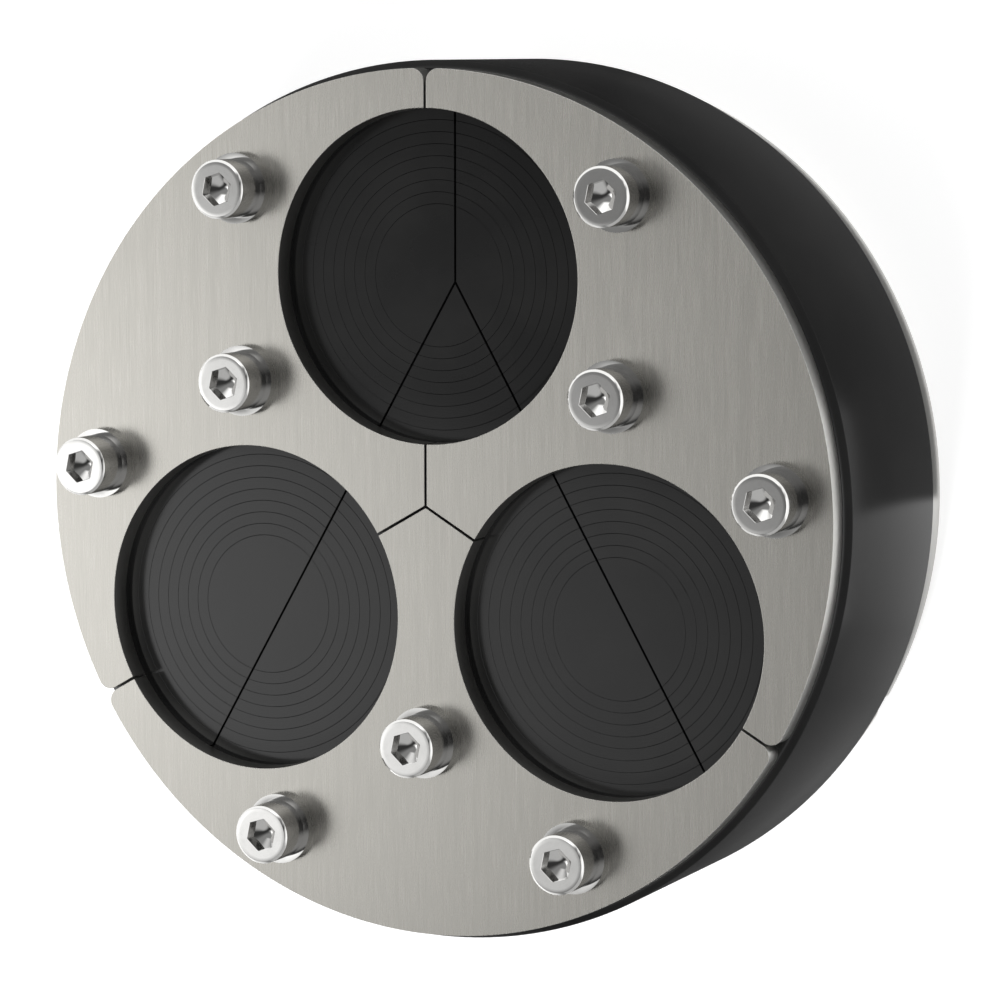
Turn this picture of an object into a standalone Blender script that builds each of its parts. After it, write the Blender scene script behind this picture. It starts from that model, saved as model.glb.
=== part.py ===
# Annular gap seal for three cables, lying flat on its rear pressure plates.
# The axis of the seal is Z, the rear face is at z = 0 and the bolt heads point up.
# Three rubber segments are pressed between three front and three rear steel plates
# by nine socket head cap screws on plain washers.

import math

import bmesh
import bpy
from mathutils import Vector

# Plates and rubber, in metres. Their diameters follow from the ports.
seal_width = 0.040
front_plate_thickness = 0.004
rear_plate_thickness = 0.006
rubber_overhang = 0.00135

# Clearances.
seat_gap = 0.0003
plate_split = 0.00045
rubber_split = 0.0003
shank_gap = 0.0003
cut_overrun = 0.001
weld_distance = 0.000001

# Cable ports, one on each of the three plate splits, and the plate left between and around them.
port_diameter = 0.056
port_web = 0.0106
port_rim_wall = 0.00655
port_recess = 0.001

# Concentric peel cuts in the face of each port, and the web that joins the rings behind them.
peel_ring_wall = 0.002
peel_cut_count = 8
peel_cut_width = 0.00035
peel_web = 0.004

# The rubber is divided by three cuts that meet beside the centre of the top port.
rubber_chamfer = 0.001
cut_meeting_x = 0.0031
cut_meeting_drop = 0.001

# Plate edges.
plate_corner_radius = 0.0022
plate_edge_bevel = 0.0003

# Bolts and washers. The inner bolts stand a step outside the port circle.
bolt_diameter = 0.006
bolt_tip_inset = 0.0022
bolt_tip_chamfer = 0.0007
head_diameter = 0.010
head_height = 0.006
head_chamfer = 0.0005
socket_width = 0.005
socket_depth = 0.0025
socket_point_depth = 0.0012
socket_turn = math.radians(18.0)
washer_diameter = 0.012
washer_thickness = 0.0016
inner_bolt_step = 0.00145
outer_bolt_inset = 0.0095
outer_bolt_angle = math.radians(26.0)

# Faceting of the round forms.
rim_steps = 84
port_steps = 40
peel_steps = 28
bolt_steps = 20
hole_steps = 12
corner_steps = 3
cleanup_angle = math.radians(0.5)

sectors = {
    "right": math.radians(30.0),
    "left": math.radians(150.0),
    "bottom": math.radians(270.0),
}
bolt_names = {
    "right": ("inner", "lower", "upper"),
    "left": ("inner", "upper", "lower"),
    "bottom": ("inner", "left", "right"),
}
half_sector = math.radians(60.0)
port_angles = [math.radians(90.0), math.radians(210.0), math.radians(330.0)]
rubber_wedges = {
    "right": (math.radians(15.0), math.radians(75.0)),
    "left": (math.radians(165.0), math.radians(75.0)),
    "bottom": (math.radians(270.0), math.radians(30.0)),
}

# Circles across the axis, from the ports out.
port_circle_radius = (port_diameter + port_web) / 2 / math.sin(half_sector)
plate_diameter = (port_circle_radius + port_diameter / 2 + port_rim_wall) * 2
rubber_diameter = plate_diameter + rubber_overhang * 2
inner_bolt_radius = port_circle_radius + inner_bolt_step
outer_bolt_radius = plate_diameter / 2 - outer_bolt_inset

# Levels along the axis, from the rear face up.
rubber_bottom = rear_plate_thickness + seat_gap
rubber_top = rear_plate_thickness + seal_width - seat_gap
front_plate_bottom = rear_plate_thickness + seal_width
front_face = front_plate_bottom + front_plate_thickness
washer_bottom = front_face + seat_gap
head_bottom = washer_bottom + washer_thickness + seat_gap
front_port_floor = front_plate_bottom - port_recess
rear_port_floor = rear_plate_thickness + port_recess
peel_cut_depth = front_port_floor - rear_port_floor - peel_web
bolt_length = head_bottom - bolt_tip_inset


def on_circle(radius, angle):
    return Vector((radius * math.cos(angle), radius * math.sin(angle)))


port_centres = [on_circle(port_circle_radius, angle) for angle in port_angles]


def bolt_places():
    """Name and centre of each bolt: one on the sector's middle line, two near the rim."""
    places = []
    for sector, middle in sectors.items():
        circles = (
            (inner_bolt_radius, middle),
            (outer_bolt_radius, middle - outer_bolt_angle),
            (outer_bolt_radius, middle + outer_bolt_angle),
        )
        for name, (radius, angle) in zip(bolt_names[sector], circles):
            places.append((sector + "_" + name, on_circle(radius, angle)))
    return places


def clear_scene():
    for item in list(bpy.data.objects):
        bpy.data.objects.remove(item, do_unlink=True)


def make_material(name, colour, metallic, roughness):
    material = bpy.data.materials.new(name)
    material.use_nodes = True
    shader = material.node_tree.nodes["Principled BSDF"]
    shader.inputs["Base Color"].default_value = (*colour, 1.0)
    shader.inputs["Metallic"].default_value = metallic
    shader.inputs["Roughness"].default_value = roughness
    material.diffuse_color = (*colour, 1.0)
    return material


def finished_mesh(bm, name):
    """Close the bmesh into a mesh whose faces point out."""
    bmesh.ops.remove_doubles(bm, verts=bm.verts, dist=weld_distance)
    bmesh.ops.recalc_face_normals(bm, faces=bm.faces)
    mesh = bpy.data.meshes.new(name)
    bm.to_mesh(mesh)
    bm.free()
    return mesh


def turned(name, profile, steps, closed=False):
    """Spin a profile of (radius, height) points about Z into a solid."""
    bm = bmesh.new()
    points = [bm.verts.new((radius, 0.0, height)) for radius, height in profile]
    edges = [bm.edges.new(pair) for pair in zip(points, points[1:])]
    if closed:
        edges.append(bm.edges.new((points[-1], points[0])))
    bmesh.ops.spin(
        bm, geom=points + edges, cent=(0.0, 0.0, 0.0), axis=(0.0, 0.0, 1.0),
        angle=math.tau, steps=steps, use_merge=True,
    )
    return finished_mesh(bm, name)


def gathered(name, mesh, centres):
    """One mesh with a copy of another at each centre."""
    bm = bmesh.new()
    for centre in centres:
        before = len(bm.verts)
        bm.from_mesh(mesh)
        bm.verts.ensure_lookup_table()
        bmesh.ops.translate(bm, verts=bm.verts[before:], vec=(centre[0], centre[1], 0.0))
    return finished_mesh(bm, name)


def prism(name, outline, start, end, bevel=0.0):
    """Extrude a flat outline from one level to another; a bevel breaks the end's edges."""
    bm = bmesh.new()
    base = bm.faces.new([bm.verts.new((x, y, start)) for x, y in outline])
    extruded = bmesh.ops.extrude_face_region(bm, geom=[base], use_keep_orig=True)
    moved = [item for item in extruded["geom"] if isinstance(item, bmesh.types.BMVert)]
    bmesh.ops.translate(bm, verts=moved, vec=(0.0, 0.0, end - start))
    bmesh.ops.recalc_face_normals(bm, faces=bm.faces)
    if bevel > 0.0:
        ends = set(moved)
        bmesh.ops.bevel(
            bm, geom=[edge for edge in bm.edges if set(edge.verts) <= ends], offset=bevel,
            offset_type="OFFSET", segments=1, profile=0.5, affect="EDGES", clamp_overlap=True,
        )
    return finished_mesh(bm, name)


def add_object(name, mesh, material=None, spin=0.0, location=(0.0, 0.0, 0.0)):
    item = bpy.data.objects.new(name, mesh)
    bpy.context.scene.collection.objects.link(item)
    item.location = location
    item.rotation_euler = (0.0, 0.0, spin)
    if material:
        mesh.materials.clear()
        mesh.materials.append(material)
    return item


def add_cutter(name, mesh):
    item = add_object(name, mesh)
    item.hide_render = True
    item.display_type = "WIRE"
    return item


def add_boolean(item, cutter, operation="DIFFERENCE"):
    modifier = item.modifiers.new(cutter.name, "BOOLEAN")
    modifier.operation = operation
    modifier.solver = "EXACT"
    modifier.object = cutter


def add_planar_cleanup(item):
    """Merge the coplanar pieces that the Booleans leave in flat faces."""
    modifier = item.modifiers.new("planar_cleanup", "DECIMATE")
    modifier.decimate_type = "DISSOLVE"
    modifier.angle_limit = cleanup_angle


def smooth(mesh):
    mesh.shade_smooth()
    mesh.set_sharp_from_angle(angle=math.radians(30.0))


def arc(centre, radius, start, end, steps):
    return [centre + on_circle(radius, start + (end - start) * i / steps) for i in range(steps + 1)]


def sector_outline():
    """Outline of one 120 degree plate with its middle line on +X.

    Each straight edge keeps half the split to the line between two plates, is bitten
    by a port and runs into the rim through a rounded corner.
    """
    rim = plate_diameter / 2
    half_split = plate_split / 2
    port_radius = port_diameter / 2
    edge = Vector((math.cos(half_sector), math.sin(half_sector)))
    inward = Vector((edge.y, -edge.x))
    tip = Vector((half_split / math.sin(half_sector), 0.0))
    port = edge * port_circle_radius
    reach = math.sqrt(port_radius ** 2 - half_split ** 2)
    port_entry = math.atan2(-half_split, reach)
    port_exit = math.atan2(-half_split, -reach)
    corner = plate_corner_radius
    corner_along = math.sqrt((rim - corner) ** 2 - (half_split + corner) ** 2)
    corner_centre = edge * corner_along + inward * (half_split + corner)
    corner_angle = math.atan2(corner_centre.y, corner_centre.x)
    edge_angle = half_sector

    upper = []
    rim_count = round(rim_steps * (2 * corner_angle) / math.tau / 2)
    rim_arc = arc(Vector((0.0, 0.0)), rim, 0.0, corner_angle, rim_count)
    upper += rim_arc[:-1]
    upper += arc(corner_centre, corner, corner_angle, edge_angle + math.pi / 2, corner_steps)
    upper += arc(port, port_radius, edge_angle + port_entry, edge_angle + port_exit, port_steps // 2)
    lower = [Vector((point.x, -point.y)) for point in reversed(upper[1:])]
    return upper + [tip] + lower


def make_plates(material, holes, tapped_holes):
    """Three front and three rear plates, drilled for the bolts, with the outer edges broken."""
    outline = sector_outline()
    front = prism("front_plate", outline, front_plate_bottom, front_face, plate_edge_bevel)
    rear = prism("rear_plate", outline, rear_plate_thickness, 0.0, plate_edge_bevel)
    for sector, middle in sectors.items():
        item = add_object("front_plate_" + sector, front, material, spin=middle)
        add_boolean(item, holes)
        add_planar_cleanup(item)
        item = add_object("rear_plate_" + sector, rear, material, spin=middle)
        add_boolean(item, tapped_holes)
        add_planar_cleanup(item)


def make_port_recesses():
    """Short cylinders that sink the port faces below both faces of the rubber."""
    radius = port_diameter / 2
    profiles = (
        ((0.0, front_port_floor), (radius, front_port_floor),
         (radius, rubber_top + cut_overrun), (0.0, rubber_top + cut_overrun)),
        ((0.0, rubber_bottom - cut_overrun), (radius, rubber_bottom - cut_overrun),
         (radius, rear_port_floor), (0.0, rear_port_floor)),
    )
    cutters = []
    for side, profile in zip(("front", "rear"), profiles):
        disc = turned("recess_" + side, profile, port_steps)
        cutters.append(add_cutter("port_recess_" + side, gathered("recesses_" + side, disc, port_centres)))
    return cutters


def make_peel_cuts():
    """Tapered ring cuts, one peel wall apart, that stop short of the rear face."""
    half = peel_cut_width / 2 * (peel_cut_depth + cut_overrun) / peel_cut_depth
    top = front_port_floor + cut_overrun
    tip = front_port_floor - peel_cut_depth
    bm = bmesh.new()
    for count in range(peel_cut_count):
        radius = port_diameter / 2 - peel_ring_wall * (count + 1)
        profile = ((radius - half, top), (radius + half, top), (radius, tip))
        bm.from_mesh(turned("peel_cut", profile, peel_steps, closed=True))
    rings = finished_mesh(bm, "peel_cuts")
    return add_cutter("peel_cuts", gathered("peel_cut_sets", rings, port_centres))


def make_wedge(name, middle, half_angle):
    """Wedge that keeps one rubber segment, drawn back by half the split on both cuts."""
    meeting = Vector((cut_meeting_x, port_circle_radius - cut_meeting_drop))
    apex = meeting + on_circle(rubber_split / 2 / math.sin(half_angle), middle)
    reach = rubber_diameter * 2
    outline = [apex] + arc(apex, reach, middle - half_angle, middle + half_angle, 4)
    return add_cutter(name, prism(name, outline, rubber_bottom - cut_overrun, rubber_top + cut_overrun))


def make_rubber(material, holes):
    """The rubber cylinder with its broken rims, divided into three segments."""
    radius = rubber_diameter / 2
    shoulder = plate_diameter / 2
    profile = (
        (0.0, rubber_bottom),
        (shoulder, rubber_bottom),
        (radius, rubber_bottom + rubber_chamfer),
        (radius, rubber_top - rubber_chamfer),
        (shoulder, rubber_top),
        (0.0, rubber_top),
    )
    recesses = make_port_recesses()
    peel_cuts = make_peel_cuts()
    for sector, (middle, half_angle) in rubber_wedges.items():
        body = turned("rubber_" + sector, profile, rim_steps)
        smooth(body)
        item = add_object("rubber_segment_" + sector, body, material)
        add_boolean(item, holes)
        for cutter in recesses:
            add_boolean(item, cutter)
        add_boolean(item, make_wedge("wedge_" + sector, middle, half_angle), "INTERSECT")
        add_boolean(item, peel_cuts)
        add_planar_cleanup(item)


def hex_socket():
    """Hexagonal prism with a pointed end, as the drilled and broached socket has."""
    corner = socket_width / 2 / math.cos(half_sector / 2)
    outline = arc(Vector((0.0, 0.0)), corner, socket_turn, socket_turn + math.tau, 6)[:-1]
    mesh = prism("hex_socket", outline, head_height + cut_overrun, head_height - socket_depth)
    bm = bmesh.new()
    bm.from_mesh(mesh)
    end = min(bm.faces, key=lambda face: face.calc_center_median().z)
    bmesh.ops.poke(bm, faces=[end], offset=socket_point_depth)
    return finished_mesh(bm, "hex_socket")


def make_bolts(material):
    """Socket head cap screws: a turned blank with a hexagon sunk in its head."""
    shank = bolt_diameter / 2
    head = head_diameter / 2
    profile = (
        (0.0, -bolt_length),
        (shank - bolt_tip_chamfer, -bolt_length),
        (shank, -bolt_length + bolt_tip_chamfer),
        (shank, 0.0),
        (head, 0.0),
        (head, head_height - head_chamfer),
        (head - head_chamfer, head_height),
        (0.0, head_height),
    )
    blank = add_object("bolt_blank", turned("bolt_blank", profile, bolt_steps))
    cutter = add_cutter("hex_socket", hex_socket())
    add_boolean(blank, cutter)
    add_planar_cleanup(blank)
    bpy.context.view_layer.update()
    graph = bpy.context.evaluated_depsgraph_get()
    mesh = bpy.data.meshes.new_from_object(blank.evaluated_get(graph))
    mesh.name = "bolt"
    smooth(mesh)
    bpy.data.objects.remove(blank, do_unlink=True)
    bpy.data.objects.remove(cutter, do_unlink=True)
    for name, centre in bolt_places():
        add_object("bolt_" + name, mesh, material, location=(centre.x, centre.y, head_bottom))


def make_washers(material):
    outer = washer_diameter / 2
    inner = bolt_diameter / 2 + shank_gap
    profile = ((inner, 0.0), (outer, 0.0), (outer, washer_thickness), (inner, washer_thickness))
    mesh = turned("washer", profile, bolt_steps, closed=True)
    smooth(mesh)
    for name, centre in bolt_places():
        add_object("washer_" + name, mesh, material, location=(centre.x, centre.y, washer_bottom))


def make_bolt_holes():
    """Through holes of the front plates and the rubber, and the tapped rear ones."""
    radius = bolt_diameter / 2 + shank_gap
    centres = [centre for name, centre in bolt_places()]
    spans = (
        ("bolt_holes", rubber_bottom - cut_overrun, front_face + cut_overrun),
        ("tapped_holes", -cut_overrun, rear_plate_thickness + cut_overrun),
    )
    cutters = []
    for name, bottom, top in spans:
        pin = turned(name + "_pin", ((0.0, bottom), (radius, bottom), (radius, top), (0.0, top)), hole_steps)
        cutters.append(add_cutter(name, gathered(name, pin, centres)))
    return cutters


def main():
    clear_scene()
    steel = make_material("brushed_stainless", (0.52, 0.50, 0.47), 1.0, 0.34)
    hardware = make_material("polished_stainless", (0.62, 0.61, 0.60), 1.0, 0.16)
    rubber = make_material("black_rubber", (0.022, 0.022, 0.023), 0.0, 0.42)
    holes, tapped_holes = make_bolt_holes()
    make_plates(steel, holes, tapped_holes)
    make_rubber(rubber, holes)
    make_washers(hardware)
    make_bolts(hardware)


main()
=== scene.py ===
import bmesh
import bpy
import numpy as np
from mathutils import Matrix, Vector
from mathutils.geometry import delaunay_2d_cdt


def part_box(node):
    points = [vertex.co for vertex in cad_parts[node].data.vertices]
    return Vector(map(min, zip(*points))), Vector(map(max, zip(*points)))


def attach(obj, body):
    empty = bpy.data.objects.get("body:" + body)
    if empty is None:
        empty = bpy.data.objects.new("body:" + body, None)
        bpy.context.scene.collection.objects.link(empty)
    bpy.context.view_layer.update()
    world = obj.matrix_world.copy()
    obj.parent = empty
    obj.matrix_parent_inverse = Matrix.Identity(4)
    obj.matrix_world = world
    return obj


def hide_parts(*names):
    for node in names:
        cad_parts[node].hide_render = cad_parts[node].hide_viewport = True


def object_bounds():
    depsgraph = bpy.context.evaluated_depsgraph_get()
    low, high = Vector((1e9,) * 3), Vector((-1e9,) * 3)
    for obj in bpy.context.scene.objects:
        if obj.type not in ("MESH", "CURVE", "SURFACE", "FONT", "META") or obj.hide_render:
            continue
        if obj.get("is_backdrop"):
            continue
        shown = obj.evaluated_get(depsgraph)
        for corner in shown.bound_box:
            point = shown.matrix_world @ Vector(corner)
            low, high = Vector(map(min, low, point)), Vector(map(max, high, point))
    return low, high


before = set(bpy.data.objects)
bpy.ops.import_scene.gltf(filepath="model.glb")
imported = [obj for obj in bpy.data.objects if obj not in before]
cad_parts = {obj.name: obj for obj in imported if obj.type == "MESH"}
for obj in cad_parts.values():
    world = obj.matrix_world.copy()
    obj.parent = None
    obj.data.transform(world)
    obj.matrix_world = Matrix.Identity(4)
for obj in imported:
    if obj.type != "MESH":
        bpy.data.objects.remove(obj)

cadLow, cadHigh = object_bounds()
turn = 2 * np.pi

# The seal lies on its rear plates with its axis up, and its port on the vertical split towards +Y.
rearPlateLow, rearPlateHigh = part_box("rear_plate_left")
frontPlateLow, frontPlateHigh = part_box("front_plate_left")
sectors = {"right": 30.0, "left": 150.0, "bottom": 270.0}
screwNames = [node[len("bolt_"):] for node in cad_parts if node.startswith("bolt_")]
screwCentres = {}
for name in screwNames:
    low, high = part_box("bolt_" + name)
    screwCentres[name] = np.array([(low.x + high.x) / 2, (low.y + high.y) / 2])

sizes = {
    "portRadius": 0.028,
    "portWeb": 0.0106,         # plate left between two ports
    "portRimWall": 0.00655,    # plate left between a port and the rim
    "split": 0.00045,          # gap between two plates
    "cornerRadius": 0.0022,
    "edgeRadius": 0.00006,     # rounding of the plates' edges and chamfer of their holes
    "edgeSteps": 5,
    "clearanceHole": 0.0033,   # radius of the plain holes round the shanks
    "holePoints": 65,
    "rimPoints": 90,           # along half a plate's rim
    "cornerPoints": 13,
    "portPoints": 97,          # along half a port
    "rubberColumns": 288,
}
portCircle = (2 * sizes["portRadius"] + sizes["portWeb"]) / 2 / np.sin(np.radians(60))
plateRadius = portCircle + sizes["portRadius"] + sizes["portRimWall"]
rubberRadius = (cadHigh.x - cadLow.x) / 2


# Shapes as whole arrays

def onCircle(angles):
    # (cos a, sin a)
    return np.stack([np.cos(angles), np.sin(angles)], axis=-1)


def unit(vector):
    # v / |v|
    return np.asarray(vector) / np.linalg.norm(vector)


def arc(centre, radius, start, end, count):
    # centre + radius (cos a, sin a), with a from start to end in equal steps
    return np.asarray(centre) + radius * onCircle(np.linspace(start, end, count))


def rounded(corners, radii, steps=5):
    # each corner of a (radius, height) profile gives way to an arc that touches both its sides:
    # the arc starts radius / tan(half the corner) before the corner and sweeps to the same distance after it
    corners = np.asarray(corners, float)
    made = [corners[:1]]
    for before, corner, after, radius in zip(corners, corners[1:], corners[2:], radii):
        if radius == 0:
            made.append(corner[None])
            continue
        inward = unit(before - corner)
        outward = unit(after - corner)
        half = np.arccos(np.clip(inward @ outward, -1, 1)) / 2
        centre = corner + unit(inward + outward) * radius / np.sin(half)
        first = corner + inward * radius / np.tan(half) - centre
        last = corner + outward * radius / np.tan(half) - centre
        share = np.linspace(0, 1, steps)[:, None]
        sweep = np.pi - 2 * half
        swept = (np.sin((1 - share) * sweep) * first + np.sin(share * sweep) * last) / np.sin(sweep)
        made.append(centre + swept)
    made.append(corners[-1:])
    return np.concatenate(made)


def gridFaces(rows, columns, wrap=True):
    # quad (row, column) joins points r c, r c+1, r+1 c+1 and r+1 c; a wrapped grid closes on itself
    across = columns if wrap else columns - 1
    row, column = np.meshgrid(np.arange(rows - 1), np.arange(across), indexing="ij")
    beside = (column + 1) % columns
    quads = [row * columns + column, row * columns + beside,
             (row + 1) * columns + beside, (row + 1) * columns + column]
    return np.stack(quads, axis=-1).reshape(-1, 4)


def stack(loops, heights):
    # closed loops of (x, y), one above another at the given heights, as one wrapped grid
    loops = np.asarray(loops)
    z = np.broadcast_to(np.asarray(heights, float).reshape(len(loops), -1, 1), loops.shape[:2] + (1,))
    return np.concatenate([loops, z], axis=2).reshape(-1, 3), gridFaces(*loops.shape[:2]), True


def roundAngles(columns):
    # equal steps once round
    return np.arange(columns) * turn / columns


def spun(profile, centre=(0.0, 0.0), columns=96):
    # (r cos a, r sin a, z) about the centre, for each (r, z) of the profile and a once round
    circle = onCircle(roundAngles(columns))
    return stack(np.asarray(centre) + profile[:, 0, None, None] * circle, profile[:, 1])


def inset(outline, depth):
    # every point of a closed outline moves in along its mitre: depth (n0 + n1) / (1 + n0 . n1),
    # where n0 and n1 are the outward normals of the two sides that meet there
    side = np.roll(outline, -1, axis=0) - outline
    normal = np.stack([side[:, 1], -side[:, 0]], axis=1)
    normal /= np.linalg.norm(normal, axis=1)[:, None]
    before = np.roll(normal, 1, axis=0)
    mitre = (before + normal) / (1 + np.sum(before * normal, axis=1))[:, None]
    return outline - depth * mitre


def cap(loops, height):
    # flat face between an outer loop and the loops of its holes, filled with triangles
    points = np.concatenate(loops)
    starts = np.cumsum([0] + [len(loop) for loop in loops])
    edges = np.concatenate([
        np.stack([np.arange(first, last), np.roll(np.arange(first, last), -1)], axis=1)
        for first, last in zip(starts, starts[1:])
    ])
    flat = delaunay_2d_cdt([Vector(point) for point in points.tolist()], edges.tolist(), [], 4, 1e-9)
    xy = np.array([tuple(point) for point in flat[0]])
    return np.column_stack([xy, np.full(len(xy), height)]), np.array(flat[2]), False


def makeMesh(name, parts, creaseAngle=35.0):
    # the parts' points and faces as one welded mesh whose faces point out
    points = np.concatenate([part[0] for part in parts])
    shifts = np.cumsum([0] + [len(part[0]) for part in parts])
    faces = [face for part, shift in zip(parts, shifts) for face in (part[1] + shift).tolist()]
    mesh = bpy.data.meshes.new(name)
    mesh.from_pydata(points.tolist(), [], faces)
    smooth = np.repeat([part[2] for part in parts], [len(part[1]) for part in parts])
    mesh.polygons.foreach_set("use_smooth", smooth)
    bm = bmesh.new()
    bm.from_mesh(mesh)
    bmesh.ops.remove_doubles(bm, verts=bm.verts, dist=1e-7)
    bmesh.ops.recalc_face_normals(bm, faces=bm.faces)
    bm.to_mesh(mesh)
    bm.free()
    rounds = np.empty(len(mesh.polygons), bool)
    mesh.polygons.foreach_get("use_smooth", rounds)
    mesh.set_sharp_from_angle(angle=np.radians(creaseAngle))    # this also smooths every face
    mesh.polygons.foreach_set("use_smooth", rounds)
    return mesh


def addObject(name, data):
    item = bpy.data.objects.new(name, data)
    bpy.context.scene.collection.objects.link(item)
    return item


def makePiece(node, mesh, finish):
    # the piece is named after its node, with capitals in place of underscores
    mesh.materials.clear()
    mesh.materials.append(finish)
    words = node.split("_")
    piece = addObject(words[0] + "".join(word.capitalize() for word in words[1:]), mesh)
    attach(piece, "root")
    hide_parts(node)


# Finishes

class Wire:
    # one socket, so that sums and products of wires add their own Math nodes
    def __init__(self, finish, socket):
        self.finish = finish
        self.socket = socket

    def math(self, operation, first, second):
        return self.finish.node("ShaderNodeMath", {"operation": operation}, {0: first, 1: second})

    def __add__(self, other):
        return self.math("ADD", self, other)

    def __radd__(self, other):
        return self.math("ADD", other, self)

    def __sub__(self, other):
        return self.math("SUBTRACT", self, other)

    def __rsub__(self, other):
        return self.math("SUBTRACT", other, self)

    def __mul__(self, other):
        return self.math("MULTIPLY", self, other)

    def __rmul__(self, other):
        return self.math("MULTIPLY", other, self)

    def __abs__(self):
        return self.math("ABSOLUTE", self, 0.0)


class Finish:
    # the node tree of one material or of the world
    def __init__(self, owner):
        owner.use_nodes = True
        self.owner = owner
        self.tree = owner.node_tree
        self.tree.nodes.clear()

    def node(self, kind, settings=None, inputs=None, output=0):
        made = self.tree.nodes.new(kind)
        for key, value in (settings or {}).items():
            setattr(made, key, value)
        for key, value in (inputs or {}).items():
            if isinstance(value, Wire):
                self.tree.links.new(value.socket, made.inputs[key])
            else:
                made.inputs[key].default_value = value
        return Wire(self, made.outputs[output] if made.outputs else None)

    def mix(self, factor, first, second):
        return self.node("ShaderNodeMix", {"data_type": "RGBA"}, {0: factor, 6: first, 7: second}, 2)

    def ramp(self, value, low, high, smooth=True):
        settings = {"interpolation_type": "SMOOTHSTEP" if smooth else "LINEAR"}
        return self.node("ShaderNodeMapRange", settings, {"Value": value, "From Min": low, "From Max": high})

    def noise(self, place, scale, detail=3.0, roughness=0.55):
        # noise whose grains measure 1 / scale along each axis
        spread = self.node("ShaderNodeMapping", {}, {"Vector": place, "Scale": scale})
        values = {"Vector": spread, "Scale": 1.0, "Detail": detail, "Roughness": roughness}
        return self.node("ShaderNodeTexNoise", {}, values)

    def show(self, shader):
        self.node("ShaderNodeOutputMaterial", {}, {"Surface": shader})
        return self.owner

    def close(self, values):
        return self.show(self.node("ShaderNodeBsdfPrincipled", {}, values))

    def vector(self, operation, first, second, output="Vector"):
        return self.node("ShaderNodeVectorMath", {"operation": operation}, {0: first, 1: second}, output)

    def part(self, vector, axis):
        # one coordinate: 0, 1 or 2
        return self.node("ShaderNodeSeparateXYZ", {}, {0: vector}, axis)

    def fromMiddle(self, place):
        # distance from the Z axis: the length of (x, y)
        return self.node("ShaderNodeVectorMath", {"operation": "LENGTH"},
                         {0: self.vector("MULTIPLY", place, (1.0, 1.0, 0.0))}, "Value")

    def flatness(self, low, high):
        # from 0 on upright faces to 1 on level ones: a smooth step of |normal z|
        return self.ramp(abs(self.part(self.node("ShaderNodeNewGeometry", output="Normal"), 2)), low, high)

    def relief(self, height, distance):
        return self.node("ShaderNodeBump", {}, {"Height": height, "Distance": distance, "Strength": 1.0})


steelLook = {
    "pale": (0.71, 0.69, 0.64, 1.0),
    "deep": (0.55, 0.535, 0.495, 1.0),
    "roughness": 0.27,
    "grainRoughness": 0.07,                   # change of roughness from the darkest to the brightest grain
    "fineGrain": (5200.0, 130.0, 5200.0),     # grains per metre across and along the brushing
    "coarseGrain": (800.0, 16.0, 800.0),
    "fineShare": 0.6,                         # of the fine noise in the grain; the coarse has the rest
    "grainEdges": (0.20, 0.80),               # grain where the deep tint ends and the pale one is full
    "streaks": (0.60, 0.78),                  # fine noise where a bright streak starts and is full
    "streakShare": 0.5,
    "streakTint": (0.80, 0.78, 0.73, 1.0),
    "grainHeight": 0.0000008,
    "cutEdge": (0.50, 0.495, 0.475, 1.0),
    "edgeHaze": 0.03,                         # roughness added on the cut edges
    "level": (0.6, 0.95),                     # share of the normal along Z where a face starts and is full
}


def makeBrushedSteel():
    # streaks along Y: two noises stretched along the brushing set tint, roughness and relief
    look = steelLook
    steel = Finish(bpy.data.materials.new("brushedSteel"))
    place = steel.node("ShaderNodeTexCoord", output="Object")
    fine = steel.noise(place, look["fineGrain"], 2.0)
    coarse = steel.noise(place, look["coarseGrain"], 3.0)
    grain = look["fineShare"] * fine + (1.0 - look["fineShare"]) * coarse
    face = steel.flatness(*look["level"])
    tone = steel.mix(steel.ramp(grain, *look["grainEdges"], False), look["deep"], look["pale"])
    streak = steel.ramp(fine, *look["streaks"]) * look["streakShare"]
    tone = steel.mix(streak, tone, look["streakTint"])
    tone = steel.mix(face, look["cutEdge"], tone)
    roughness = look["roughness"] + (grain - 0.5) * look["grainRoughness"] + (1.0 - face) * look["edgeHaze"]
    relief = steel.relief(fine, look["grainHeight"])
    return steel.close({"Base Color": tone, "Metallic": 1.0, "Roughness": roughness, "Normal": relief})


screwLook = {
    "tint": (0.74, 0.735, 0.72, 1.0),
    "worn": (0.69, 0.685, 0.67, 1.0),
    # painted shade: the darker tint that the head's upright faces take, so that its sides look shaded
    "side": (0.42, 0.416, 0.41, 1.0),
    "sideHaze": 0.08,             # roughness added on the upright faces
    "roughness": 0.075,
    "turningMarks": 2600.0,       # marks per metre
}
washerLook = {
    "tint": (0.72, 0.715, 0.70, 1.0),
    "worn": (0.66, 0.655, 0.64, 1.0),
    # painted shade: the darker tint that the washer's upright faces take, so that its sides look shaded
    "side": (0.37, 0.368, 0.36, 1.0),
    "sideHaze": 0.08,
    "roughness": 0.05,
    "turningMarks": 3200.0,
}
turnedLook = {
    "clouds": 420.0,              # per metre
    "cloudEdges": (0.35, 0.75),   # noise where the worn tint starts and is full
    "level": (0.15, 0.45),        # share of the normal along Z where a face counts as level
    "markRoughness": 0.04,
    "cloudRoughness": 0.02,
    "markHeight": 0.0000004,
}


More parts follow.
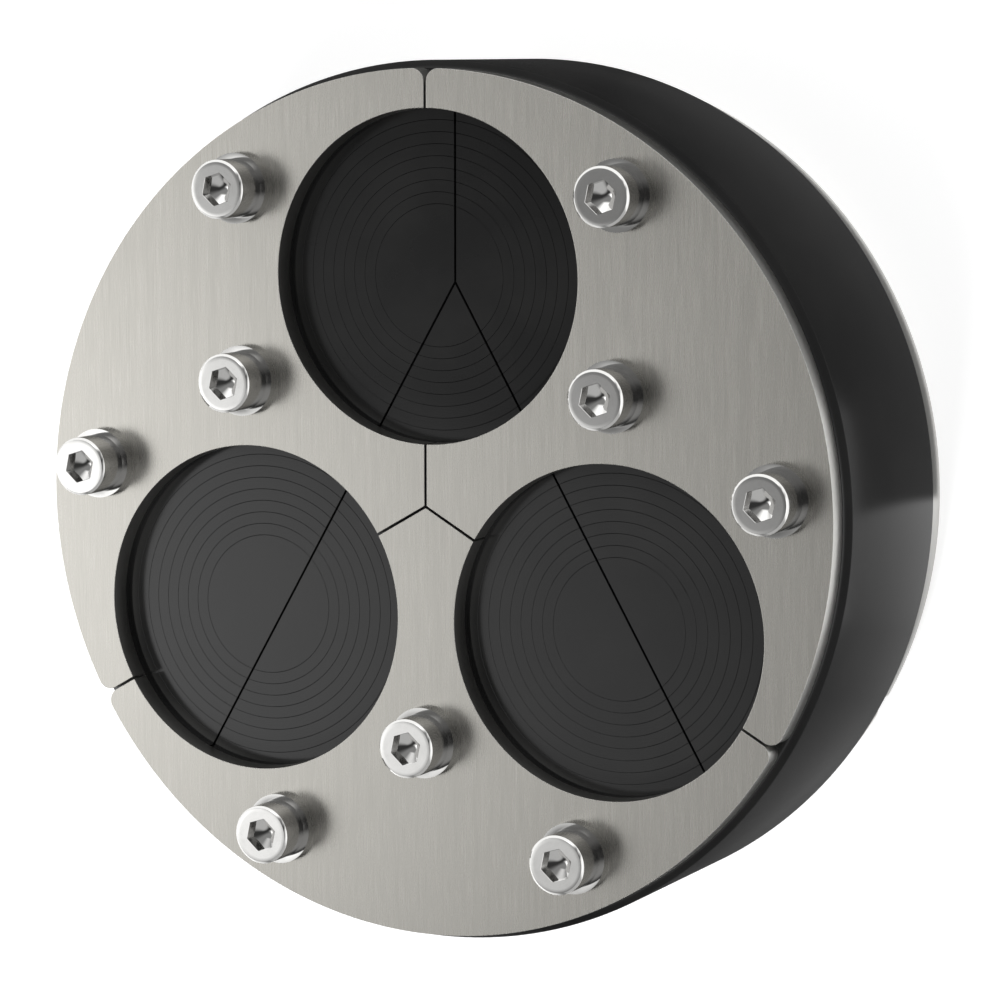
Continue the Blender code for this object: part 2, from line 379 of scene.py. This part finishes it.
def makeTurnedSteel(name, look):
    # turning marks: noise of the distance from the screw's own axis and of the height; upright faces take a
    # darker tint, which is painted shade
    steel = Finish(bpy.data.materials.new(name))
    place = steel.node("ShaderNodeAttribute", {"attribute_name": "fromAxis"}, {}, "Vector")
    ring = steel.node("ShaderNodeCombineXYZ", {}, {0: steel.fromMiddle(place), 1: steel.part(place, 2)})
    marks = steel.noise(ring, (look["turningMarks"],) * 3, 2.0)
    haze = steel.noise(place, (turnedLook["clouds"],) * 3, 3.0)
    upright = 1.0 - steel.flatness(*turnedLook["level"])
    tone = steel.mix(steel.ramp(haze, *turnedLook["cloudEdges"]), look["tint"], look["worn"])
    # painted shade: upright faces take the side tint, darker than the level faces
    tone = steel.mix(upright, tone, look["side"])
    roughness = look["roughness"] + (marks - 0.5) * turnedLook["markRoughness"]
    roughness = roughness + (haze - 0.5) * turnedLook["cloudRoughness"] + upright * look["sideHaze"]
    relief = steel.relief(marks, turnedLook["markHeight"])
    return steel.close({"Base Color": tone, "Metallic": 1.0, "Roughness": roughness, "Normal": relief})


rubberLook = {
    "tint": (0.0072, 0.0072, 0.0072, 1.0),
    "dust": (0.0108, 0.0107, 0.0105, 1.0),
    "roughness": 0.17,
    "skinGrain": 9000.0,             # per metre
    "skinHeight": 0.0000015,
    "skinRoughness": 0.05,
    "clouds": 60.0,                  # per metre
    "cloudEdges": (0.35, 0.75),      # noise where the dust starts and is full
    "cloudRoughness": 0.10,
    "refraction": 1.56,
    "wallEdge": (0.0729, 0.0735),    # distances from the axis where the matt outer wall starts and is full
    "wallRoughness": 0.20,
    "wallGloss": 0.08,
    "worn": (0.004, 0.020),          # places on Y between which the skin grows more matt
    "wornShare": 0.63,
}


def makeRubberFinish():
    # a smooth moulded skin: fine grain in the relief, slow clouds in tint and gloss; the outer wall, told
    # by its distance from the axis, shines less, and so does the port towards +Y in part
    look = rubberLook
    rubber = Finish(bpy.data.materials.new("blackRubber"))
    place = rubber.node("ShaderNodeTexCoord", output="Object")
    skin = rubber.noise(place, (look["skinGrain"],) * 3, 2.0)
    clouds = rubber.noise(place, (look["clouds"],) * 3, 4.0)
    tone = rubber.mix(rubber.ramp(clouds, *look["cloudEdges"]), look["tint"], look["dust"])
    roughness = look["roughness"] + (clouds - 0.5) * look["cloudRoughness"]
    roughness = roughness + (skin - 0.5) * look["skinRoughness"]
    relief = rubber.relief(skin, look["skinHeight"])
    outside = rubber.ramp(rubber.fromMiddle(place), *look["wallEdge"])
    skinValues = {"Base Color": tone, "Roughness": roughness, "Normal": relief, "IOR": look["refraction"]}
    face = rubber.node("ShaderNodeBsdfPrincipled", {}, skinValues)
    wallValues = {"Base Color": tone, "Normal": relief, "Specular IOR Level": look["wallGloss"],
                  "Roughness": look["wallRoughness"]}
    wall = rubber.node("ShaderNodeBsdfPrincipled", {}, wallValues)
    worn = rubber.ramp(rubber.part(place, 1), *look["worn"]) * look["wornShare"]
    matt = outside + (1.0 - outside) * worn
    both = rubber.node("ShaderNodeMixShader", {}, {0: matt, 1: face, 2: wall})
    return rubber.show(both)


plateSteel = makeBrushedSteel()
screwSteel = makeTurnedSteel("screwSteel", screwLook)
washerSteel = makeTurnedSteel("washerSteel", washerLook)
sealRubber = makeRubberFinish()
print("finishes made")


# Pressure plates

def plateOutline():
    # one 120 degree plate with its middle line on +X: half rim, rounded corner, the port's half circle
    # and the tip, then the same mirrored in the X axis
    half = np.radians(60.0)
    gap = sizes["split"] / 2
    corner = sizes["cornerRadius"]
    port = sizes["portRadius"]
    edge = onCircle(half)
    inward = np.array([edge[1], -edge[0]])
    centre = edge * np.sqrt((plateRadius - corner) ** 2 - (gap + corner) ** 2) + inward * (gap + corner)
    cornerAngle = np.arctan2(centre[1], centre[0])
    bite = np.arcsin(gap / port)
    upper = np.concatenate([
        arc((0, 0), plateRadius, 0, cornerAngle, sizes["rimPoints"])[:-1],
        arc(centre, corner, cornerAngle, half + np.pi / 2, sizes["cornerPoints"]),
        arc(edge * portCircle, port, half - bite, half - np.pi + bite, sizes["portPoints"]),
    ])
    tip = np.array([[gap / np.sin(half), 0.0]])
    return np.concatenate([upper, tip, upper[:0:-1] * (1, -1)])


def turned2d(points, degrees):
    # (x cos a - y sin a, x sin a + y cos a)
    along = onCircle(np.radians(degrees))
    return points @ np.array([along, (-along[1], along[0])])


def plateParts(outline, low, high, holes):
    # the outline carried up a rounded edge: its inset falls from the edge radius to nothing along a
    # quarter circle, stays there up the side and grows again; flat caps with the holes close both ends
    radius = sizes["edgeRadius"]
    quarter = np.linspace(0, np.pi / 2, sizes["edgeSteps"])
    insets = radius * (1 - np.sin(quarter))
    rises = radius * (1 - np.cos(quarter))
    depths = np.concatenate([insets, insets[::-1]])
    heights = np.concatenate([low + rises, high - rises[::-1]])
    parts = [stack([inset(outline, depth) for depth in depths], heights)]
    for ends, height in ((0, low), (-1, high)):
        loops = [inset(outline, radius)] + [hole[0][ends] for hole in holes]
        parts.append(cap(loops, height))
    parts += [stack(*hole) for hole in holes]
    return parts


def plainHole(centre, radius, low, high):
    # a drilled hole whose mouths open by a small chamfer
    chamfer = sizes["edgeRadius"]
    radii = [radius + chamfer, radius, radius, radius + chamfer]
    loops = [arc(centre, r, 0, turn, sizes["holePoints"])[:-1] for r in radii]
    return np.array(loops), np.array([low, low + chamfer, high - chamfer, high])


thread = {
    "pitch": 0.001,
    "majorRadius": 0.003,
    "depth": 0.00055,
    "clearance": 0.00006,
    "length": 0.024,
    "mouthChamfer": 0.0004,
    "mouthRelief": 0.0001,      # the tapped hole's mouth is this much wider than its thread
    "columns": 48,
    "rowsPerTurn": 8,
}


def threadRadius(angles, heights, fade):
    # major radius less the depth times a triangle wave of (height - pitch a / turn) / pitch,
    # where the wave is scaled by fade towards a plain cylinder at the thread's ends
    phase = (heights[:, None] / thread["pitch"] - angles[None] / turn) % 1.0
    wave = np.abs(2 * phase - 1)
    return thread["majorRadius"] - thread["depth"] * (1 - (1 - wave) * fade[:, None])


def tappedHole(centre, low, high):
    # the screw's own thread surface moved out by the clearance, behind a chamfer at each mouth
    chamfer = thread["mouthChamfer"]
    rows = int((high - low - 2 * chamfer) / thread["pitch"] * thread["rowsPerTurn"]) + 1
    angles = roundAngles(thread["columns"])
    heights = np.linspace(low + chamfer, high - chamfer, rows)
    ends = np.minimum(heights - heights[0], heights[-1] - heights) / (thread["pitch"] / 2)
    radii = threadRadius(angles, heights, np.ones(rows)) + thread["clearance"]
    mouth = thread["majorRadius"] + thread["clearance"] + thread["mouthRelief"]
    blend = np.clip(ends, 0, 1)[:, None]
    radii = radii * blend + (mouth - chamfer / 4) * (1 - blend)
    opening = np.full((1, len(angles)), mouth + chamfer / 2)
    radii = np.vstack([opening, radii, opening])
    heights = np.concatenate([[low], heights, [high]])
    return np.asarray(centre) + radii[:, :, None] * onCircle(angles), heights


def makePlates():
    outline = plateOutline()
    for sector, degrees in sectors.items():
        own = turned2d(outline, degrees)
        centres = [centre for name, centre in screwCentres.items() if name.startswith(sector)]
        low, high = frontPlateLow.z, frontPlateHigh.z
        front = [plainHole(centre, sizes["clearanceHole"], low, high) for centre in centres]
        node = "front_plate_" + sector
        makePiece(node, makeMesh(node, plateParts(own, low, high, front)), plateSteel)
        low, high = rearPlateLow.z, rearPlateHigh.z
        rear = [tappedHole(centre, low, high) for centre in centres]
        node = "rear_plate_" + sector
        makePiece(node, makeMesh(node, plateParts(own, low, high, rear)), plateSteel)


makePlates()
print("plates made")


# Screws and washers

screw = {
    "headRadius": 0.005,
    "headHeight": 0.006,
    "rimWidth": 0.00040,
    "rimDrop": 0.00028,
    "rimEdge": 0.00008,         # rounding on both edges of the chamfer
    "flatEdge": 0.001,          # width of the ring that the head's profile ends in
    "neck": 0.002,              # plain shank under the head
    "socketWidth": 0.005,
    "socketEdge": 0.00005,      # chamfer of the socket's mouth
    "socketDepth": 0.0025,
    "socketSlope": 0.45,        # of the drilled point's cone
    "socketTurn": 18.0,
    "coneSteps": (0.9, 0.5),    # rows of the cone, as shares of the socket's half width
    "tipInset": 0.0022,
    "point": (0.0003, 0.0005),  # width and height of the chamfer at the tip
    "columns": 96,
    "creaseAngle": 25.0,
}
washer = {
    "outerRadius": 0.006,
    "innerRadius": 0.0032,
    "thickness": 0.0016,
    "boreEdge": 0.0001,
    "creaseAngle": 40.0,
}
headSeat = frontPlateHigh.z + washer["thickness"]


def screwParts():
    # rows of circles round the axis, from the tip up: threaded shank, plain shank, neck, head, then the
    # socket, whose rows run from a circle to a hexagon: a / cos of the angle to the nearest flat
    columns = screw["columns"]
    angles = roundAngles(columns)
    base = rearPlateLow.z + screw["tipInset"]
    shank = thread["majorRadius"]
    core = shank - thread["depth"]

    pointWidth, pointHeight = screw["point"]
    rowStep = thread["pitch"] / thread["rowsPerTurn"]
    threadHeights = np.arange(base + pointHeight, base + thread["length"], rowStep)
    fade = np.clip((base + thread["length"] - threadHeights) / thread["pitch"], 0, 1)
    threaded = threadRadius(angles, threadHeights, np.ones(len(fade)))
    threaded = shank - (shank - threaded) * fade[:, None]

    head = screw["headRadius"]
    top = headSeat + screw["headHeight"]
    rim = [(head, top - screw["rimDrop"]), (head - screw["rimWidth"], top)]
    neck = [(shank, headSeat - screw["neck"]), (shank, headSeat), (head, headSeat)]
    corners = neck + rim + [(head - screw["flatEdge"], top)]
    outer = rounded(corners, (0.0, 0.0, screw["rimEdge"], screw["rimEdge"]))
    apothem = screw["socketWidth"] / 2
    toFlat = (angles - np.radians(screw["socketTurn"])) % np.radians(60) - np.radians(30)
    hexagon = apothem / np.cos(toFlat)
    tip = top - screw["socketDepth"] - apothem * screw["socketSlope"]

    rows = [np.zeros(columns), np.full(columns, core - pointWidth)]
    levels = [np.full(columns, base), np.full(columns, base)]
    rows += list(threaded)
    levels += [np.full(columns, height) for height in threadHeights]
    rows += [np.full(columns, radius) for radius in outer[:, 0]]
    levels += [np.full(columns, height) for height in outer[:, 1]]
    rows += [hexagon + screw["socketEdge"], hexagon]
    levels += [np.full(columns, top), np.full(columns, top - screw["socketEdge"])]
    cone = [np.full(columns, share * apothem) for share in screw["coneSteps"]]
    for radius in [hexagon] + cone + [np.zeros(columns)]:
        rows.append(radius)
        levels.append(tip + radius * screw["socketSlope"])
    rows = np.array(rows)
    levels = np.array(levels)
    points = np.concatenate([rows[:, :, None] * onCircle(angles), levels[:, :, None]], axis=2)
    return [(points.reshape(-1, 3), gridFaces(len(rows), columns), True)]


def addFromAxis(mesh, centre):
    # each point's place seen from its screw's axis, for the turning marks
    count = len(mesh.vertices)
    points = np.empty(count * 3)
    mesh.vertices.foreach_get("co", points)
    points = points.reshape(-1, 3) - (centre[0], centre[1], headSeat)
    layer = mesh.attributes.new("fromAxis", "FLOAT_VECTOR", "POINT")
    layer.data.foreach_set("vector", points.ravel())


def moved(parts, centre):
    # the same parts with the centre added to their points
    return [(points + (centre[0], centre[1], 0.0), faces, smooth) for points, faces, smooth in parts]


def washerProfile():
    # half section, from the middle of the bore down, out, up and back
    low = frontPlateHigh.z
    high = headSeat
    inner = washer["innerRadius"]
    outer = washer["outerRadius"]
    edge = washer["boreEdge"]
    middle = (low + high) / 2
    corners = [(inner, middle), (inner, low), (outer, low), (outer, high), (inner, high), (inner, middle)]
    return rounded(corners, [edge, 0.0, 0.0, edge], 4)


def makeScrews():
    shape = screwParts()
    ring = [spun(washerProfile())]
    kinds = {"bolt_": (shape, screw, screwSteel), "washer_": (ring, washer, washerSteel)}
    for name, centre in screwCentres.items():
        for kind, (parts, values, finish) in kinds.items():
            mesh = makeMesh(kind + name, moved(parts, centre), values["creaseAngle"])
            addFromAxis(mesh, centre)
            makePiece(kind + name, mesh, finish)


makeScrews()
print("screws and washers made")


# Rubber

rubber = {
    "chamfer": 0.001,
    "chamferEdge": 0.0004,       # rounding of the chamfers' edges
    "portRecess": 0.001,
    "ringWall": 0.002,
    "ringCount": 8,
    "peelCut": 0.00006,
    "peelLip": 0.00002,
    "peelDepth": 0.034,
    "split": 0.0004,
    "splitDepth": 0.006,         # of the open groove at each face; between them the split is closed
    "closedSplit": 0.00001,
    "closing": (0.0675, 0.0728),    # distances from the axis where the splits start to close and are closed
    "meetingX": 0.0031,
    "meetingDrop": 0.001,
    "overrun": 0.001,            # of the cutting tools beyond the rubber
    "portColumns": 144,
    "holeColumns": 40,
    "creaseAngle": 30.0,
}
rubberLow = rearPlateHigh.z
rubberHigh = frontPlateLow.z
wedges = {"right": (15.0, 75.0), "left": (165.0, 75.0), "bottom": (270.0, 30.0)}


def helper(name, parts):
    # a closed mesh that a Boolean reads and nothing shows
    return addObject(name, makeMesh(name, parts))


def baked(item, cuts):
    # the mesh that is left after the Booleans, with no modifier kept
    for cutter, operation in cuts:
        modifier = item.modifiers.new(cutter.name, "BOOLEAN")
        modifier.operation = operation
        modifier.solver = "EXACT"
        modifier.object = cutter
    bpy.context.view_layer.update()
    graph = bpy.context.evaluated_depsgraph_get()
    mesh = bpy.data.meshes.new_from_object(item.evaluated_get(graph))
    bpy.data.objects.remove(item, do_unlink=True)
    return mesh


def portProfile():
    # half section of the tool that sinks a port face: its floor carries one thin fin for each peel cut
    floor = rubberHigh - rubber["portRecess"]
    lip = rubber["peelLip"]
    half = rubber["peelCut"] / 2
    cuts = sizes["portRadius"] - rubber["ringWall"] * np.arange(rubber["ringCount"], 0, -1)
    slope = [(-half - lip, 0), (-half, -lip), (0, -rubber["peelDepth"])]
    shape = np.array(slope + [(-across, down) for across, down in slope[1::-1]])
    fins = (cuts[:, None, None] * (1, 0) + (0, floor) + shape).reshape(-1, 2)
    high = rubberHigh + rubber["overrun"]
    radius = sizes["portRadius"]
    return np.concatenate([[(0, high), (0, floor)], fins, [(radius, floor), (radius, high), (0, high)]])


def wedgeOutline(meeting, middle, half, split):
    # corner at the meeting point, moved in by half the split; each side runs out at that distance from
    # the cut's middle line and comes within the closed gap of it under the plates' rim
    wide, closed = split / 2, rubber["closedSplit"] / 2
    apex = meeting + wide / np.sin(half) * onCircle(middle)
    sides = []
    for turned in (-1, 1):
        angle = middle + turned * half
        along = onCircle(angle)
        inward = np.array([along[1], -along[0]]) * turned
        base = meeting @ along
        reach = np.sqrt(base ** 2 + np.square(rubber["closing"]) - meeting @ meeting) - base
        sides.append(meeting + np.outer(reach, along) + np.outer((wide, closed), inward))
    beyond = arc(meeting, 4 * rubberRadius, middle - half, middle + half, 5)
    return np.concatenate([[apex], sides[0], beyond, sides[1][::-1]])


def makeRubber():
    # a round body less the port faces, the rear recesses and the screw holes; three wedges, whose sides
    # step in between the grooves, then cut it into the segments
    chamfer = rubber["chamfer"]
    rim = np.array([
        (0, rubberLow), (plateRadius, rubberLow), (rubberRadius, rubberLow + chamfer),
        (rubberRadius, rubberHigh - chamfer), (plateRadius, rubberHigh), (0, rubberHigh),
    ])
    rim = rounded(rim, [rubber["chamferEdge"]] * 4, 4)
    low = rubberLow - rubber["overrun"]
    high = rubberHigh + rubber["overrun"]
    depth = rubber["splitDepth"]
    slope = rubber["split"]
    closedLow, closedHigh = rubberLow + depth + slope, rubberHigh - depth - slope
    grooves = [low, rubberLow + depth, closedLow, closedHigh, rubberHigh - depth, high]
    rearFloor = rubberLow + rubber["portRecess"]
    radius = sizes["portRadius"]
    rearProfile = np.array([(0, low), (radius, low), (radius, rearFloor), (0, rearFloor)])
    columns = rubber["portColumns"]
    portCentres = portCircle * onCircle(np.radians([90.0, 210.0, 330.0]))
    front = helper("portTool", [spun(portProfile(), centre, columns) for centre in portCentres])
    rear = helper("rearPortTool", [spun(rearProfile, centre, columns) for centre in portCentres])
    hole = sizes["clearanceHole"]
    pin = np.array([(0, low), (hole, low), (hole, high), (0, high)])
    pins = helper("holeTool", [spun(pin, centre, rubber["holeColumns"]) for centre in screwCentres.values()])
    body = helper("rubberBody", [spun(rim, columns=sizes["rubberColumns"])])
    whole = baked(body, [(pins, "DIFFERENCE"), (front, "DIFFERENCE"), (rear, "DIFFERENCE")])
    meeting = np.array([rubber["meetingX"], portCircle - rubber["meetingDrop"]])
    for sector, (degrees, halfDegrees) in wedges.items():
        middle, half = np.radians(degrees), np.radians(halfDegrees)
        outline = wedgeOutline(meeting, middle, half, rubber["split"])
        tight = wedgeOutline(meeting, middle, half, rubber["closedSplit"])
        walls = stack([outline, outline, tight, tight, outline, outline], grooves)
        wedge = helper("wedge", [cap([outline], low), walls, cap([outline], high)])
        mesh = baked(addObject("segment", whole.copy()), [(wedge, "INTERSECT")])
        bpy.data.objects.remove(wedge, do_unlink=True)
        mesh.polygons.foreach_set("use_smooth", np.ones(len(mesh.polygons), bool))
        mesh.set_sharp_from_angle(angle=np.radians(rubber["creaseAngle"]))
        node = "rubber_segment_" + sector
        mesh.name = node
        makePiece(node, mesh, sealRubber)
        print(node, len(mesh.polygons), "faces")
    for tool in (front, rear, pins):
        bpy.data.objects.remove(tool, do_unlink=True)


makeRubber()
print("rubber made")


# Camera, floor and light

view = {
    "eye": (0.2939, 0.0778, 0.6198),
    "aim": (0.0139, 0.0018, 0.0500),
    "focalWidths": 3.8566,        # focal length in picture widths
    "shiftY": 0.0009,
}
cameraData = bpy.data.cameras.new("camera")
cameraData.sensor_width = 36.0
cameraData.lens = view["focalWidths"] * cameraData.sensor_width
cameraData.shift_y = view["shiftY"]
cameraData.clip_start = 0.01
camera = addObject("camera", cameraData)
eye = np.array(view["eye"])
back = unit(eye - np.array(view["aim"]))
right = unit(np.cross((0.0, 1.0, 0.0), back))
stand = np.eye(4)
stand[:3] = np.column_stack([right, np.cross(back, right), back, eye])
camera.matrix_world = Matrix(stand.tolist())
bpy.context.scene.camera = camera

floorLook = {
    "halfWidth": 3.0,
    "colour": (0.80, 0.80, 0.80, 1.0),
    "lift": 0.49,              # light added where the camera or a reflection sees the floor
    "drop": 0.00002,           # the floor lies this far below the rear plates
}


def makeFloor():
    reach = floorLook["halfWidth"]
    corners = [(-reach, -reach, 0), (reach, -reach, 0), (reach, reach, 0), (-reach, reach, 0)]
    mesh = bpy.data.meshes.new("floor")
    mesh.from_pydata(corners, [], [(0, 1, 2, 3)])
    finish = Finish(bpy.data.materials.new("floorWhite"))
    seen = finish.node("ShaderNodeLightPath", output="Is Camera Ray")
    glossy = finish.node("ShaderNodeLightPath", output="Is Glossy Ray")
    through = finish.node("ShaderNodeLightPath", output="Is Transmission Ray")
    lift = (seen + glossy + through) * floorLook["lift"]
    values = {"Base Color": floorLook["colour"], "Roughness": 0.9, "Specular IOR Level": 0.0,
              "Emission Color": (1.0, 1.0, 1.0, 1.0), "Emission Strength": lift}
    mesh.materials.append(finish.close(values))
    floor = addObject("floor", mesh)
    floor.location.z = -floorLook["drop"]
    floor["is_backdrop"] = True


# A card that glows in shades of grey lies round the seal, where only reflections see it: its shades are a
# painted reflection, the painted shade and painted highlight that the rubber's outer wall and the plates'
# rims reflect in place of the floor.
card = {
    "shades": {-180: 1.0, -140: 0.30, -105: 0.07, -64: 0.11, -53: 0.19, -42: 0.27, -30: 0.30,
               -19: 0.48, -11: 0.78, -6.7: 0.92, -0.5: 1.15, 0.7: 0.24, 45: 0.22, 80: 0.06,
               105: 0.05, 140: 0.30, 180: 1.0},
    "reach": {-180: 0.180, -45: 0.150, -16: 0.0978, 16: 0.0978, 45: 0.150, 180: 0.180},
    "innerRadius": 0.0733,
    "lean": -2.0,                 # degrees that the outer edge's marks stand behind the inner edge's
    "height": 0.0001,
    "steps": 721,
}


def makeCard():
    # a flat strip from the inner radius out to its reach; shade and reach run in straight lines between
    # the angles that are given, in degrees
    shadeStops = np.array(list(card["shades"].items()))
    reachStops = np.array(list(card["reach"].items()))
    angles = np.linspace(shadeStops[0, 0], shadeStops[-1, 0], card["steps"])
    shades = np.interp(angles, *shadeStops.T)
    reach = np.interp(angles, *reachStops.T)
    inner = onCircle(np.radians(angles)) * card["innerRadius"]
    outer = onCircle(np.radians(angles + card["lean"])) * reach[:, None]
    points, _, _ = stack([outer, inner], [card["height"]] * 2)
    mesh = bpy.data.meshes.new("greyCard")
    mesh.from_pydata(points.tolist(), [], gridFaces(2, len(angles), False).tolist())
    colours = np.column_stack([np.tile(shades, 2)] * 3 + [np.ones(2 * len(angles))])
    mesh.attributes.new("shade", "FLOAT_COLOR", "POINT").data.foreach_set("color", colours.ravel())
    finish = Finish(bpy.data.materials.new("cardGrey"))
    shade = finish.node("ShaderNodeAttribute", {"attribute_name": "shade"})
    # painted reflection: the strip glows as bright as its shade, which paints shade and a highlight into
    # what the seal's wall and rims reflect
    values = {"Base Color": (0.0, 0.0, 0.0, 1.0), "Specular IOR Level": 0.0,
              "Emission Color": shade, "Emission Strength": 1.0}
    mesh.materials.append(finish.close(values))
    item = addObject("greyCard", mesh)
    item.visible_camera = False
    item.visible_diffuse = False
    item.visible_shadow = False
    item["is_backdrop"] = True


# Each glow: the direction it comes from, the cosines where it starts and is full, and its strength.
glows = {
    "left": ((-0.491, 0.868, 0.077), (-0.050, 0.328), 2.55),
    "bottom": ((-0.735, -0.670, -0.099), (0.742, 0.942), 0.95),
    "top": ((-0.10, 0.99, 0.10), (0.54, 0.78), 1.6),
    "right": ((0.99, -0.05, 0.10), (0.64, 0.80), 1.6),
    "near": ((0.30, -0.75, 0.55), (0.72, 0.90), 0.5),
}
screen = ((-0.098, 0.445, 0.890), (0.701, 0.830), 0.91)    # holds back this share of the left glow
ambient = 0.04
brightest = 1.3               # no reflection sees more than this, but for the part overhead
overhead = ((0.62, 0.80), 1.6)    # heights of the direction where the limit rises, and by how much


def makeWorld():
    # what reflections see: soft glows of light, each a smooth step of the cosine to its direction, and
    # none brighter than the limit; the camera sees white
    world = bpy.data.worlds.new("studio")
    bpy.context.scene.world = world
    sky = Finish(world)
    direction = sky.node("ShaderNodeTexCoord", output="Generated")

    def glow(towards, edges, strength):
        cosine = sky.vector("DOT_PRODUCT", direction, tuple(unit(towards)), "Value")
        return sky.ramp(cosine, *edges) * strength

    total = ambient + glow(*glows["left"]) * (1.0 - glow(*screen))
    for side in ("bottom", "top", "right", "near"):
        total = total + glow(*glows[side])
    seen = sky.node("ShaderNodeLightPath", output="Is Camera Ray")
    limit = brightest + sky.ramp(sky.part(direction, 2), *overhead[0]) * overhead[1]
    level = total.math("MINIMUM", total, limit) + seen
    background = sky.node("ShaderNodeBackground", {}, {"Color": (1.0, 1.0, 1.0, 1.0), "Strength": level})
    sky.node("ShaderNodeOutputWorld", {}, {"Surface": background})


lamps = {
    "key": {"place": (-0.12, -0.62, 0.80), "size": 0.30, "power": 5.5},
    "fill": {"place": (0.35, 0.55, 0.80), "size": 0.8, "power": 1.0},
}


def makeLamps():
    for name, lamp in lamps.items():
        data = bpy.data.lights.new(name, "AREA")
        data.size = lamp["size"]
        data.energy = lamp["power"]
        item = addObject(name, data)
        item.location = lamp["place"]
        item.rotation_euler = Vector(lamp["place"]).to_track_quat("Z", "Y").to_euler()
        item.visible_glossy = False


makeFloor()
makeCard()
makeWorld()
makeLamps()
bpy.context.scene.view_settings.view_transform = "Standard"
print("camera, floor and light made")

low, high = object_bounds()
